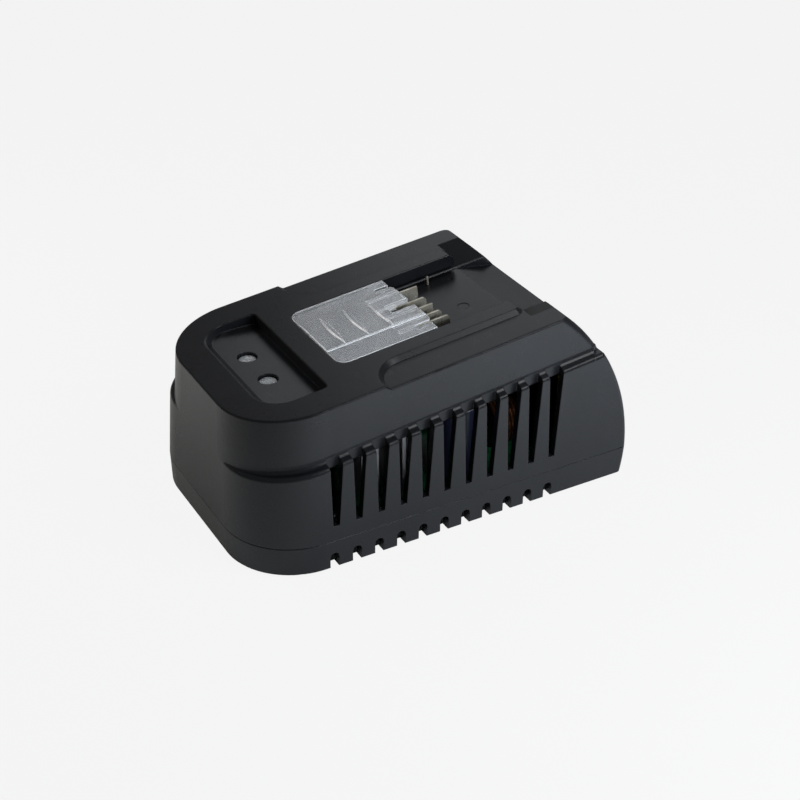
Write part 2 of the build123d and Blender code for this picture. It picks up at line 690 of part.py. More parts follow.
# Flush clear slide: raised middle with finger ridges, tongues at the far end, runners along both sides,
# and slots underneath that let it pass over the blades.
with BuildPart() as terminal_cover:
    with BuildSketch(deck.offset(-cover_thickness)):
        with Locations((cover_start, 0)):
            Rectangle(cover_end - cover_start, 2 * cover_half, align=(Align.MIN, Align.CENTER))
        fillet(vertices().group_by(Axis.X)[0], cover_corner_radius)
    extrude(amount=cover_thickness - cover_edge_drop)
    with BuildSketch(deck.offset(-cover_thickness)):
        with Locations((cover_notch_start, 0)):
            Rectangle(tongue_end - cover_notch_start, 2 * tongue_half, align=(Align.MIN, Align.CENTER))
        fillet(vertices().group_by(Axis.X)[-1], tongue_round)
    extrude(amount=cover_thickness - cover_edge_drop)
    with BuildSketch(deck.offset(-cover_thickness)):
        with Locations((cover_start, 0)):
            Rectangle(tongue_end - cover_start, 2 * cover_middle_half, align=(Align.MIN, Align.CENTER))
    extrude(amount=cover_thickness + cover_middle_rise)
    chamfer(edges_on(terminal_cover.part, deck.offset(cover_middle_rise)), cover_middle_rise / 2)
    with BuildSketch(deck.offset(-cover_thickness)):
        with Locations((cover_notch_start, 0)):
            Rectangle(beyond, 2 * notch_half, align=(Align.MIN, Align.CENTER))
        for side in (1, -1):
            with Locations((tongue_slot_start, side * (tongue_half + tongue_slot / 2))):
                Rectangle(beyond, tongue_slot, align=(Align.MIN, Align.CENTER))
    extrude(amount=2 * cover_thickness, mode=Mode.SUBTRACT)
    for place in ridge_places:
        with BuildSketch(deck.offset(cover_middle_rise)):
            with BuildLine():
                ThreePointArc((place, -ridge_half), (place + ridge_bulge, 0), (place, ridge_half))
                ThreePointArc((place, ridge_half), (place - ridge_bulge, 0), (place, -ridge_half))
            make_face()
        extrude(amount=ridge_height, taper=45)
    with BuildSketch(deck.offset(-cover_thickness)):
        with Locations((runner_start, 0)):
            Rectangle(runner_end - runner_start, 2 * (cover_half + runner_width), align=(Align.MIN, Align.CENTER))
    extrude(amount=runner_height - slide_gap)
    for name, place, reach in blade_places:
        with BuildSketch(deck.offset(-cover_thickness)):
            with Locations((pocket_start - cover_travel - blade_gap, place)):
                Rectangle(beyond, blade_thickness + 2 * blade_gap, align=(Align.MIN, Align.CENTER))
        extrude(amount=cover_thickness - blade_top + blade_gap, mode=Mode.SUBTRACT)
terminal_cover.part.label = "terminal_cover"
export_step(terminal_cover.part, "parts/terminal_cover.step")

# ---------------------------------------------------------------- blades, terminal block, sensing pin

tail_x = block_start + blade_tail
tail_end = block_depth + blade_tail
blades = []
for name, place, reach in blade_places:
    with BuildPart() as blade:
        with BuildSketch(deck_side.offset(-place)):
            Polygon((pocket_start + blade_gap, -blade_top), (pocket_start + reach, -blade_top),
                    (pocket_start + reach, -blade_foot),
                    (tail_x + blade_tail, -blade_foot), (tail_x + blade_tail, -tail_end), (tail_x, -tail_end),
                    (tail_x, -blade_root), (pocket_start + blade_gap, -blade_root), align=None)
            fillet(vertices().sort_by(Axis.X)[-2:].sort_by(Axis.Z)[-1], blade_tip_radius)
        extrude(amount=blade_thickness / 2, both=True)
    blade.part.label = name
    export_step(blade.part, f"parts/{name}.step")
    blades.append(blade.part)

with BuildPart() as terminal_block:
    with BuildSketch(deck.offset(-block_depth)):
        with Locations((block_start, 0)):
            Rectangle(pocket_start - block_start, 2 * block_half, align=(Align.MIN, Align.CENTER))
    extrude(amount=block_depth - cover_floor - slide_gap)
    with BuildSketch(deck.offset(-tub_floor)):
        with Locations((block_start - block_flange_reach, 0)):
            Rectangle(pocket_start - block_start + 2 * block_flange_reach,
                      2 * (block_half + block_flange_reach + small_head_radius / 2), align=(Align.MIN, Align.CENTER))
        fillet(vertices(), block_flange)
    extrude(amount=-block_flange)
    with BuildSketch(deck.offset(-tub_floor)):
        with Locations(*block_screw_places):
            Circle(small_screw_radius)
    extrude(amount=-block_flange, mode=Mode.SUBTRACT)
    add(blades, mode=Mode.SUBTRACT)
terminal_block.part.label = "terminal_block"
export_step(terminal_block.part, "parts/terminal_block.step")

with BuildPart() as sensing_pin:
    with BuildSketch(deck.offset(-tub_floor - pin_height)):
        with Locations((pin_x, pin_y)):
            Circle(pin_radius)
    extrude(amount=pin_height + wall + pin_height)
    with BuildSketch(deck.offset(-tub_floor)):
        with Locations((pin_x, pin_y)):
            Circle(2 * pin_radius)
    extrude(amount=-blade_thickness)
    fillet(sensing_pin.faces().sort_by(Axis.Z)[-1].edges(), pin_radius / 2)
sensing_pin.part.label = "sensing_pin"
export_step(sensing_pin.part, "parts/sensing_pin.step")

# ---------------------------------------------------------------- indicator window

for side, name in ((1, "far"), (-1, "near")):
    place = side * lens_spacing / 2
    with BuildPart() as lens:
        with BuildSketch(Plane.XY.offset(recess_z - wall)):
            with Locations((lens_x, place)):
                Circle(lens_radius)
        extrude(amount=wall - lens_sink)
        fillet(lens.faces().sort_by(Axis.Z)[-1].edges(), lens_round)
        with BuildSketch(Plane.XY.offset(recess_z - wall)):
            with Locations((lens_x, place)):
                Circle(lens_flange_radius)
        extrude(amount=-lens_flange)
        with BuildSketch(Plane.XY.offset(recess_z - wall - lens_flange)):
            with Locations((lens_x, place)):
                Circle(light_guide_radius)
        extrude(amount=-light_guide_length)
    lens.part.label = f"indicator_lens_{name}"
    export_step(lens.part, f"parts/indicator_lens_{name}.step")

    with BuildPart() as diode:
        with BuildSketch(Plane.XY.offset(indicator_top)):
            with Locations((lens_x, place)):
                Circle(diode_radius)
        extrude(amount=diode_height)
        fillet(diode.faces().sort_by(Axis.Z)[-1].edges(), 0.8 * diode_radius)
    diode.part.label = f"indicator_diode_{name}"
    export_step(diode.part, f"parts/indicator_diode_{name}.step")

with BuildPart() as indicator_board:
    with BuildSketch(Plane.XY.offset(indicator_top)):
        with Locations((lens_x, 0)):
            RectangleRounded(indicator_board_width, 2 * (indicator_post_y + indicator_post_radius + fit_gap), 1)
        with Locations(*indicator_places):
            Circle(small_screw_radius, mode=Mode.SUBTRACT)
    extrude(amount=-board_thickness)
indicator_board.part.label = "indicator_board"
export_step(indicator_board.part, "parts/indicator_board.step")

# Flat ribbon that bows down from the indicator board to the circuit board.
ribbon_top = indicator_top - board_thickness
with BuildPart() as indicator_ribbon:
    with BuildSketch(Plane.XZ):
        with BuildLine():
            ThreePointArc((lens_x, ribbon_top), (lens_x - ribbon_bow, (ribbon_top + board_top) / 2),
                          (lens_x, board_top))
            Line((lens_x, board_top), (lens_x - ribbon_thickness, board_top))
            ThreePointArc((lens_x - ribbon_thickness, board_top),
                          (lens_x - ribbon_bow - ribbon_thickness, (ribbon_top + board_top) / 2),
                          (lens_x - ribbon_thickness, ribbon_top))
            Line((lens_x - ribbon_thickness, ribbon_top), (lens_x, ribbon_top))
        make_face()
    extrude(amount=ribbon_width / 2, both=True)
indicator_ribbon.part.label = "indicator_ribbon"
export_step(indicator_ribbon.part, "parts/indicator_ribbon.step")

# ---------------------------------------------------------------- circuit board and what stands on it

with BuildPart() as circuit_board:
    with BuildSketch(Plane.XY.offset(board_z)):
        Rectangle(board_length, board_neck_width)
        Rectangle(board_neck_length, board_width)
        with Locations(*standoff_places):
            Circle(small_screw_radius, mode=Mode.SUBTRACT)
    extrude(amount=board_thickness)
circuit_board.part.label = "circuit_board"
export_step(circuit_board.part, "parts/circuit_board.step")

# ---------------------------------------------------------------- electronics on the circuit board

on_board = Plane.XY.offset(board_top)

# Mains inlet: body with a figure-of-eight socket, open to the far end, and its two pins.
inlet_axis_z = board_top + inlet_height / 2
inlet_mouth = Plane(origin=(inlet_face, 0, inlet_axis_z), x_dir=(0, 1, 0), z_dir=(1, 0, 0))
with BuildPart() as inlet_pins:
    with BuildSketch(inlet_mouth.offset(-socket_depth - inlet_pin_root)):
        with GridLocations(inlet_pin_spacing, 0, 2, 1):
            Circle(inlet_pin_radius)
    extrude(amount=inlet_pin_root + inlet_pin_length)
    fillet(inlet_pins.edges().group_by(Axis.X)[-1], inlet_pin_radius / 2)
inlet_pins.part.label = "inlet_pins"
export_step(inlet_pins.part, "parts/inlet_pins.step")

with BuildPart() as mains_inlet:
    with BuildSketch(inlet_mouth):
        Rectangle(inlet_width, inlet_height)
    extrude(amount=-inlet_length)
    with BuildSketch(inlet_mouth):
        SlotOverall(socket_width, socket_height)
    extrude(amount=-socket_depth, mode=Mode.SUBTRACT)
    add(inlet_pins.part, mode=Mode.SUBTRACT)
mains_inlet.part.label = "mains_inlet"
export_step(mains_inlet.part, "parts/mains_inlet.step")

# Fuse, lying along the board.
with BuildPart() as mains_fuse:
    with BuildSketch(Plane.YZ.offset(fuse_x)):
        with Locations((fuse_y, board_top + fuse_radius)):
            Circle(fuse_radius)
    extrude(amount=fuse_length)
    fillet(mains_fuse.edges().filter_by(GeomType.CIRCLE), fuse_radius / 4)
mains_fuse.part.label = "mains_fuse"
export_step(mains_fuse.part, "parts/mains_fuse.step")

# Filter choke: a ring core on edge with two windings.
choke_axis = Plane(origin=(choke_x, choke_y, board_top + choke_outer + choke_wire), x_dir=(0, 1, 0), z_dir=(1, 0, 0))
with BuildPart() as line_choke_core:
    with BuildSketch(choke_axis):
        Circle(choke_outer)
        Circle(choke_inner, mode=Mode.SUBTRACT)
    extrude(amount=choke_width / 2, both=True)
line_choke_core.part.label = "line_choke_core"
export_step(line_choke_core.part, "parts/line_choke_core.step")

with BuildPart() as line_choke_windings:
    with BuildSketch(choke_axis):
        Circle(choke_outer + choke_wire)
        Circle(choke_inner - choke_wire, mode=Mode.SUBTRACT)
        Rectangle(choke_inner, 4 * choke_outer, mode=Mode.SUBTRACT)
    extrude(amount=choke_width / 2 + choke_wire, both=True)
    add(line_choke_core.part, mode=Mode.SUBTRACT)
line_choke_windings.part.label = "line_choke_windings"
export_step(line_choke_windings.part, "parts/line_choke_windings.step")

# Transformer: ferrite core round a bobbin, with the windings under tape between its flanges.
core_z = board_top + bobbin_flange
with BuildPart() as transformer_bobbin:
    with BuildSketch(on_board):
        with Locations((transformer_x, transformer_y)):
            Rectangle(transformer_size, transformer_size)
    extrude(amount=transformer_height)
    with BuildSketch(Plane.XY.offset(core_z)):
        with Locations((transformer_x, transformer_y)):
            Rectangle(2 * transformer_size, 2 * transformer_size)
            Rectangle(transformer_neck, transformer_neck, mode=Mode.SUBTRACT)
    extrude(amount=transformer_height - 2 * bobbin_flange, mode=Mode.SUBTRACT)
transformer_bobbin.part.label = "transformer_bobbin"
export_step(transformer_bobbin.part, "parts/transformer_bobbin.step")

with BuildPart() as transformer_winding:
    with BuildSketch(Plane.XY.offset(core_z)):
        with Locations((transformer_x, transformer_y)):
            RectangleRounded(transformer_winding_size, transformer_winding_size, bobbin_flange)
            Rectangle(transformer_neck, transformer_neck, mode=Mode.SUBTRACT)
    extrude(amount=transformer_height - 2 * bobbin_flange)
transformer_winding.part.label = "transformer_winding"
export_step(transformer_winding.part, "parts/transformer_winding.step")

with BuildPart() as transformer_core:
    with BuildSketch(Plane.XZ.offset(-transformer_y)):
        with Locations((transformer_x, board_top + transformer_height / 2)):
            Rectangle(transformer_size + 2 * core_thickness, transformer_height + 2 * core_thickness)
            Rectangle(transformer_size, transformer_height, mode=Mode.SUBTRACT)
        with Locations((transformer_x, board_top - 2 * core_thickness)):
            Rectangle(2 * transformer_size, 4 * core_thickness, mode=Mode.SUBTRACT)
    extrude(amount=core_depth / 2, both=True)
transformer_core.part.label = "transformer_core"
export_step(transformer_core.part, "parts/transformer_core.step")

# Heat sinks: a plate with upright fins, and the semiconductor clamped to its flat side.
for name, chip_name, x, y, turn in heat_sinks:
    flat = Plane(origin=(x, y, board_top), x_dir=(turn, 0, 0), z_dir=(0, 0, 1))
    with BuildPart() as heat_sink:
        with BuildSketch(flat):
            Rectangle(sink_length, sink_plate, align=(Align.CENTER, Align.MIN))
            with Locations((0, sink_plate + sink_fin / 2)):
                with GridLocations((sink_length - sink_fin_thickness) / (sink_fins - 1), 0, sink_fins, 1):
                    Rectangle(sink_fin_thickness, sink_fin)
        extrude(amount=sink_height)
    heat_sink.part.label = name
    export_step(heat_sink.part, f"parts/{name}.step")
    with BuildPart() as chip:
        with BuildSketch(flat.offset(chip_lift)):
            Rectangle(chip_width, chip_thickness, align=(Align.CENTER, Align.MAX))
        extrude(amount=chip_height)
        with BuildSketch(flat):
            with Locations((0, -chip_thickness / 2)):
                with GridLocations(chip_pin_pitch, 0, 3, 1):
                    Rectangle(chip_pin, chip_pin)
        extrude(amount=chip_lift)
    chip.part.label = chip_name
    export_step(chip.part, f"parts/{chip_name}.step")

# Electrolytic capacitors, upright cans.
for name, radius, height, places in capacitors:
    with BuildPart() as capacitor:
        with BuildSketch(on_board):
            with Locations(*places):
                Circle(radius)
        extrude(amount=height)
        fillet(capacitor.edges().group_by(Axis.Z)[-1], radius / 8)
    capacitor.part.label = name
    export_step(capacitor.part, f"parts/{name}.step")

# Plain moulded components.
for name, x, y, size_x, size_y, height in board_blocks:
    with BuildPart() as block:
        with BuildSketch(on_board):
            with Locations((x, y)):
                Rectangle(size_x, size_y)
        extrude(amount=height)
        chamfer(block.edges().group_by(Axis.Z)[-1], 0.08 * min(size_x, size_y))
    block.part.label = name
    export_step(block.part, f"parts/{name}.step")


def lead(start, end_x, end_y, radius):
    """Insulated wire from a terminal above down to the circuit board, with two easy bends."""
    drop = start.Z - board_top
    with BuildPart(mode=Mode.PRIVATE) as wire:
        with BuildLine():
            FilletPolyline(start, (start.X, start.Y, start.Z - drop / 4), (end_x, end_y, start.Z - 3 * drop / 4),
                           (end_x, end_y, board_top), radius=drop / 8)
        with BuildSketch(Plane(origin=start, z_dir=(0, 0, -1))):
            Circle(radius)
        sweep()
    return wire.part


# Leads from the blades' tails and from the sensing pin to the circuit board.
with BuildPart() as output_leads:
    for name, place, reach in blade_places:
        tail = deck_side.offset(-place).from_local_coords(Vector(tail_x + blade_tail / 2, -tail_end, 0))
        add(lead(tail - Vector(0, 0, lead_radius), lead_x, place, lead_radius))
output_leads.part.label = "output_leads"
export_step(output_leads.part, "parts/output_leads.step")

pin_foot = deck.from_local_coords(Vector(pin_x, pin_y, -tub_floor - pin_height))
sensing_lead = lead(pin_foot - Vector(0, 0, lead_radius / 2), pin_foot.X + 2 * pin_radius, pin_y, lead_radius)
sensing_lead.label = "sensing_lead"
export_step(sensing_lead, "parts/sensing_lead.step")
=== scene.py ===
"""Looks of a battery charger for slide-on tool batteries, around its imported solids. Metres, +Z up."""

import bpy
from mathutils import Matrix, Vector


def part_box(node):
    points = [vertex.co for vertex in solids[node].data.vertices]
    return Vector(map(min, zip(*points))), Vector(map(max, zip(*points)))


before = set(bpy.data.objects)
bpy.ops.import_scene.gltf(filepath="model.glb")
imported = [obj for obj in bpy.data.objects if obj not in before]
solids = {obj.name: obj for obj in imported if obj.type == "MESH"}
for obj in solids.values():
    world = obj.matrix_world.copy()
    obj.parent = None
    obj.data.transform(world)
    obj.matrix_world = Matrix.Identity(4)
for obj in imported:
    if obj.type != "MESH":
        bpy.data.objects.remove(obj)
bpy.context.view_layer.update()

# ---------------------------------------------------------------- studio
# A white table and backdrop, two small soft banks low at the sides, a large one behind and one high
# on the right. The camera looks down on the front corner from the left.

VIEW_RIGHT = Vector((0.87407, -0.48578, -0.00314))
VIEW_UP = Vector((0.25495, 0.45321, 0.85417))
VIEW_BACK = Vector((-0.41352, -0.74740, 0.51999))
VIEW_PLACE = Vector((-0.21998, -0.40809, 0.30887))
WHITE = 0.90
SKY_LIGHT = 0.06
SKY_SHINE = 0.06
TABLE_COLOUR = (0.5, 0.5, 0.5, 1.0)
TABLE_GLOW = 1.03 * WHITE
TABLE_SEEN = 0.96
TABLE_SHINE = 0.02


class Shade:
    """One socket of a material. Sums, differences and products of these add Math nodes."""

    def __init__(self, tree, socket=None):
        self.tree = tree
        self.socket = socket

    def node(self, kind, settings=None, sockets=None, output=0):
        """Adds any node: its settings first, then the values or links of its sockets."""
        made = self.tree.nodes.new("ShaderNode" + kind)
        for name, value in (settings or {}).items():
            if name == "stops":
                while len(made.color_ramp.elements) < len(value):
                    made.color_ramp.elements.new(0.5)
                for element, (place, colour) in zip(made.color_ramp.elements, value):
                    element.position = place
                    element.color = (*colour, 1.0)
            else:
                setattr(made, name, value)
        for name, value in (sockets or {}).items():
            if isinstance(value, Shade):
                self.tree.links.new(value.socket, made.inputs[name])
            else:
                made.inputs[name].default_value = value
        return Shade(self.tree, made.outputs[output])

    def math(self, operation, *values):
        return self.node("Math", {"operation": operation}, dict(enumerate(values)))

    def __add__(self, other):
        return self.math("ADD", self, other)

    __radd__ = __add__

    def __sub__(self, other):
        return self.math("SUBTRACT", self, other)

    def __rsub__(self, other):
        return self.math("SUBTRACT", other, self)

    def __mul__(self, other):
        return self.math("MULTIPLY", self, other)

    def clip(self, low=0.0, high=1.0):
        """The part of this value between low and high, as 0 to 1."""
        return self.node("MapRange", {"clamp": True}, {"Value": self, "From Min": low, "From Max": high})

    def mix(self, first, second):
        """A colour that goes from the first to the second as this value goes from 0 to 1."""
        first, second = (c if isinstance(c, Shade) else (*c, 1.0) for c in (first, second))
        # A Mix node has its colours on sockets 6 and 7, and the mixed colour on output 2.
        return self.node("Mix", {"data_type": "RGBA"}, {0: self, 6: first, 7: second}, 2)


def start(owner):
    """An empty node tree for a material or the world."""
    owner.use_nodes = True
    owner.node_tree.nodes.clear()
    return Shade(owner.node_tree)


def end(shader, kind="Material"):
    """Sends a shader to the output of its tree."""
    output = shader.tree.nodes.new(f"ShaderNodeOutput{kind}")
    shader.tree.links.new(shader.socket, output.inputs["Surface"])


def seen_directly(tree, white, shine):
    """White to the camera and through clear pieces, shine in reflections, 0 for the light it gives."""
    camera_ray, glossy, through = (tree.node("LightPath", output=f"Is {kind} Ray")
                                   for kind in ("Camera", "Glossy", "Transmission"))
    return (camera_ray + through).clip() * white + glossy * shine


bpy.context.scene.view_settings.view_transform = "Standard"
world = bpy.data.worlds.new("white backdrop")
bpy.context.scene.world = world
sky = start(world)
level = seen_directly(sky, WHITE - SKY_LIGHT, SKY_SHINE) + SKY_LIGHT
end(sky.node("Background", sockets={"Color": (1.0, 1.0, 1.0, 1.0), "Strength": level}), "World")

table_mesh = bpy.data.meshes.new("table")
table_mesh.from_pydata([(-4, -4, 0), (4, -4, 0), (4, 4, 0), (-4, 4, 0)], [], [(0, 1, 2, 3)])
table = bpy.data.objects.new("table", table_mesh)
bpy.context.collection.objects.link(table)
table.data.materials.append(bpy.data.materials.new("white table"))
paper = start(table.data.materials[0])
lit = paper.node("BsdfDiffuse", sockets={"Color": TABLE_COLOUR})
glow = paper.node("Emission", sockets={"Color": (1.0, 1.0, 1.0, 1.0), "Strength": TABLE_GLOW})
seen = seen_directly(paper, TABLE_SEEN, TABLE_SHINE)
end(paper.node("MixShader", sockets={0: seen, 1: lit, 2: glow}))

camera = bpy.data.objects.new("camera", bpy.data.cameras.new("camera"))
bpy.context.collection.objects.link(camera)
turn = Matrix((VIEW_RIGHT, VIEW_UP, VIEW_BACK)).transposed()
camera.matrix_world = Matrix.Translation(VIEW_PLACE) @ turn.to_4x4()
camera.data.lens = 71.53
camera.data.sensor_width = 36.0
camera.data.clip_start = 0.01
bpy.context.scene.camera = camera


def bank(name, place, aim, width, height, power, colour, mirrored=True):
    """A soft rectangular light that faces a point. Reflections don't show one that isn't mirrored."""
    lamp = bpy.data.lights.new(name, "AREA")
    lamp.color = colour
    lamp.shape = "RECTANGLE"
    lamp.size = width
    lamp.size_y = height
    lamp.energy = power
    holder = bpy.data.objects.new(name, lamp)
    bpy.context.collection.objects.link(holder)
    holder.location = place
    holder.rotation_euler = (Vector(aim) - Vector(place)).to_track_quat("-Z", "Y").to_euler()
    holder.visible_glossy = mirrored


bank("left bank", (-0.20, 0.20, 0.16), (-0.11, 0.08, 0.0), 0.14, 0.12, 0.55, (1.0, 0.98, 0.94), False)
bank("right bank", (0.12, -0.28, 0.15), (0.045, -0.11, 0.0), 0.24, 0.10, 1.8, (0.86, 0.93, 1.0), False)
bank("back bank", (0.80, 1.00, 0.82), (0.0, 0.0, 0.05), 0.9, 0.6, 1.35, (0.90, 0.95, 1.0))
bank("edge light", (0.36, -0.46, 0.70), (0.0, 0.0, 0.03), 0.5, 0.22, 1.6, (0.94, 0.97, 1.0))

# ---------------------------------------------------------------- what the finishes share
# Patterns are fixed to the object and sized in metres, so they stay the same from every side.


def principled(tree, sockets):
    """A Principled surface: constants are set on its sockets, and anything that varies is linked."""
    return tree.node("BsdfPrincipled", sockets=sockets)


def finish(name, dress, *nodes):
    """Makes a material with dress(tree), which returns its shader, and gives it to these solids."""
    made = bpy.data.materials.new(name)
    tree = start(made)
    end(dress(tree))
    for node in nodes:
        solids[node].data.materials.clear()
        solids[node].data.materials.append(made)


def noise(tree, scale, detail=2.0, roughness=0.5):
    """Cloudy pattern fixed to the object, 0 to 1, of about 1/scale metres."""
    place = tree.node("TexCoord", output="Object")
    return tree.node("TexNoise", sockets={"Vector": place, "Scale": scale, "Detail": detail,
                                          "Roughness": roughness})


def bump(tree, height, distance, strength=1.0, **base):
    """Normal of a surface raised by this height times a distance in metres."""
    return tree.node("Bump", sockets={"Height": height, "Distance": distance, "Strength": strength, **base})


def softened(tree, radius, samples=4):
    """Normal with the moulding's small edge rounds, and how much of an edge this is, 0 to 1."""
    rounded = tree.node("Bevel", {"samples": samples}, {"Radius": radius})
    flat = tree.node("NewGeometry", output="True Normal")
    along = tree.node("VectorMath", {"operation": "DOT_PRODUCT"}, {0: rounded, 1: flat}, "Value")
    return rounded, (1.0 - along).clip(0.03, 0.16)


# ---------------------------------------------------------------- upper and lower housing
# Two shells injection-moulded in near-black ABS with a fine, even spark texture, a little shinier
# where it is rubbed and on its edges. They meet at a parting line that runs round the object.

HOUSING_EDGE = 0.0005


def spark_texture(tree):
    grain = noise(tree, 2600.0, 3.0, 0.6)
    cloud = noise(tree, 45.0, 4.0)
    rub = noise(tree, 240.0, 6.0, 0.7).clip(0.56, 0.74)
    rounded, edge = softened(tree, HOUSING_EDGE)
    return principled(tree, {
        "Base Color": cloud.clip(0.3, 0.7).mix((0.0034, 0.0036, 0.0044), (0.0056, 0.0059, 0.0072)),
        "Roughness": 0.30 + (cloud - 0.5) * 0.08 + (grain - 0.5) * 0.10 - rub * 0.05 - edge * 0.05,
        "Normal": bump(tree, grain, 0.00003, 0.6, Normal=rounded)})


finish("satin black moulding", spark_texture, "upper_housing", "lower_housing")

# ---------------------------------------------------------------- terminal cover
# A clear polycarbonate slide over the contact blades. Its middle is raised and carries three finger
# ridges, and its cut edges are painted an opaque near-white band: a painted highlight.

COVER_EDGE = 0.0004


def clear_moulding(tree):
    flow = noise(tree, 130.0, 5.0, 0.6)
    haze = noise(tree, 260.0, 3.0, 0.6)
    rounded, edge = softened(tree, COVER_EDGE, 12)
    clear = principled(tree, {
        "Base Color": flow.clip(0.3, 0.7).mix((0.70, 0.72, 0.75), (0.86, 0.87, 0.89)),
        "Roughness": 0.12 + haze * 0.14,
        "Transmission Weight": 0.86,
        "IOR": 1.58,
        "Normal": bump(tree, flow, 0.0002, 0.35)})
    # Painted highlight: the cut edges get this opaque near-white surface in place of the clear one.
    painted_edge_highlight = principled(tree, {
        "Base Color": flow.mix((0.84, 0.85, 0.87), (0.95, 0.95, 0.96)),
        "Roughness": 0.2 + haze * 0.1,
        "Normal": rounded})
    return tree.node("MixShader", sockets={0: edge * 0.9, 1: clear, 2: painted_edge_highlight})


finish("clear polycarbonate", clear_moulding, "terminal_cover")

# ---------------------------------------------------------------- indicator lenses and diodes
# Two clear light guides pressed up through the recess floor from inside, each over a clear diode.


def lens_plastic(tree):
    cloud = noise(tree, 700.0, 3.0)
    return principled(tree, {
        "Base Color": cloud.mix((0.55, 0.56, 0.58), (0.75, 0.76, 0.78)),
        "Roughness": 0.12 + cloud * 0.15,
        "Transmission Weight": 0.7,
        "IOR": 1.5,
        "Normal": bump(tree, cloud, 0.0002, 0.3)})


finish("frosted lens", lens_plastic, "indicator_lens_far", "indicator_lens_near")


def diode_epoxy(tree):
    cloud = noise(tree, 900.0, 2.0)
    return principled(tree, {
        "Base Color": cloud.mix((0.70, 0.75, 0.66), (0.80, 0.84, 0.78)),
        "Roughness": 0.06 + cloud * 0.08,
        "Transmission Weight": 0.6,
        "IOR": 1.5})


finish("diode epoxy", diode_epoxy, "indicator_diode_far", "indicator_diode_near")

# ---------------------------------------------------------------- contact blades and pins
# Stamped nickel-plated copper alloy, with grain along the strip and a little tarnish.


def plated_strip(tree):
    place = tree.node("TexCoord", output="Object")
    stretched = tree.node("Mapping", sockets={"Vector": place, "Scale": (220.0, 1500.0, 2600.0)})
    grain = tree.node("TexNoise", sockets={"Vector": stretched, "Scale": 1.0, "Detail": 3.0})
    tarnish = noise(tree, 260.0, 5.0, 0.6).clip(0.42, 0.7)
    return principled(tree, {
        "Base Color": tarnish.mix((0.58, 0.55, 0.47), (0.30, 0.26, 0.19)),
        "Metallic": 0.85 - tarnish * 0.15,
        "Roughness": 0.20 + grain * 0.12 + tarnish * 0.12,
        "Normal": bump(tree, grain, 0.00002, 0.5)})


finish("nickel-plated strip", plated_strip, "blade_positive", "blade_balance", "blade_thermistor",
       "blade_identity", "blade_negative", "sensing_pin", "inlet_pins")

# ---------------------------------------------------------------- terminal block, bobbin and mains inlet
# Black glass-filled nylon mouldings, smoother than the housing, with faint flow marks.


def filled_nylon(tree):
    flow = noise(tree, 90.0, 5.0, 0.65)
    fibre = noise(tree, 1800.0, 3.0, 0.6)
    return principled(tree, {
        "Base Color": flow.clip(0.3, 0.7).mix((0.010, 0.010, 0.011), (0.018, 0.018, 0.019)),
        "Roughness": 0.36 + flow * 0.1 + fibre * 0.1,
        "Normal": bump(tree, fibre, 0.00002, 0.5)})


finish("black nylon", filled_nylon, "terminal_block", "transformer_bobbin", "mains_inlet")

# ---------------------------------------------------------------- screws
# Zinc-plated steel: the film's colour changes faintly, and a few spots are dull.


def zinc_plate(tree):
    spots = noise(tree, 900.0, 4.0, 0.6)
    film = noise(tree, 150.0, 2.0)
    return principled(tree, {
        "Base Color": film.mix((0.50, 0.50, 0.52), (0.62, 0.61, 0.60)),
        "Metallic": 1.0,
        "Roughness": 0.28 + spots * 0.2,
        "Normal": bump(tree, spots, 0.00002, 0.4)})


finish("zinc plate", zinc_plate, "housing_screws", "board_screws", "terminal_block_screws",
       "indicator_board_screws")

# ---------------------------------------------------------------- rubber feet
# Four die-cut pads pressed into their seats, matt, with a little dust in the grain.


def pad_rubber(tree):
    dust = noise(tree, 1300.0, 4.0, 0.7)
    return principled(tree, {
        "Base Color": dust.clip(0.45, 0.75).mix((0.012, 0.012, 0.012), (0.045, 0.044, 0.042)),
        "Roughness": 0.78 + dust * 0.15,
        "Normal": bump(tree, dust, 0.00006, 0.7)})


finish("pad rubber", pad_rubber, "rubber_feet")

# ---------------------------------------------------------------- circuit boards
# Glass-epoxy boards under green solder mask: copper shows as lighter, slightly raised areas, with
# tinned pads among them.


def solder_mask(tree):
    place = tree.node("TexCoord", output="Object")
    cells = tree.node("TexVoronoi", {"feature": "DISTANCE_TO_EDGE"},
                      {"Vector": place, "Scale": 170.0, "Randomness": 0.65})
    track = cells.clip(0.10, 0.14)
    weave = noise(tree, 2200.0, 2.0)
    dots = tree.node("TexVoronoi", {"feature": "F1"}, {"Vector": place, "Scale": 260.0, "Randomness": 0.35})
    pad = 1.0 - dots.clip(0.12, 0.15)
    green = track.mix((0.006, 0.060, 0.022), (0.008, 0.10, 0.034))
    return principled(tree, {
        "Base Color": pad.mix(green, (0.62, 0.61, 0.57)),
        "Metallic": pad * 0.9,
        "Roughness": 0.24 + weave * 0.12,
        "Normal": bump(tree, track + pad, 0.00004, 0.6)})


finish("green solder mask", solder_mask, "circuit_board", "indicator_board")

# ---------------------------------------------------------------- leads and ribbon
# PVC-insulated wires in the colours of their contacts, and a grey flat ribbon with moulded ribs.

LEADS_ACROSS = (-0.016, 0.012)
RIB_RADIANS = 6283.0


def lead_insulation(tree):
    place = tree.node("TexCoord", output="Object")
    across = tree.node("SeparateXYZ", sockets={"Vector": place}, output="Y")
    share = across.clip(*LEADS_ACROSS)
    stops = [(0.0, (0.012, 0.012, 0.012)), (0.2, (0.02, 0.05, 0.30)), (0.36, (0.55, 0.50, 0.03)),
             (0.54, (0.60, 0.60, 0.58)), (0.8, (0.45, 0.02, 0.015))]
    colour = tree.node("ValToRGB", {"stops": stops}, {"Fac": share})
    scuff = noise(tree, 500.0, 4.0)
    return principled(tree, {
        "Base Color": colour,
        "Roughness": 0.38 + scuff * 0.2,
        "Normal": bump(tree, scuff, 0.00003, 0.4)})


finish("wire insulation", lead_insulation, "output_leads", "sensing_lead")


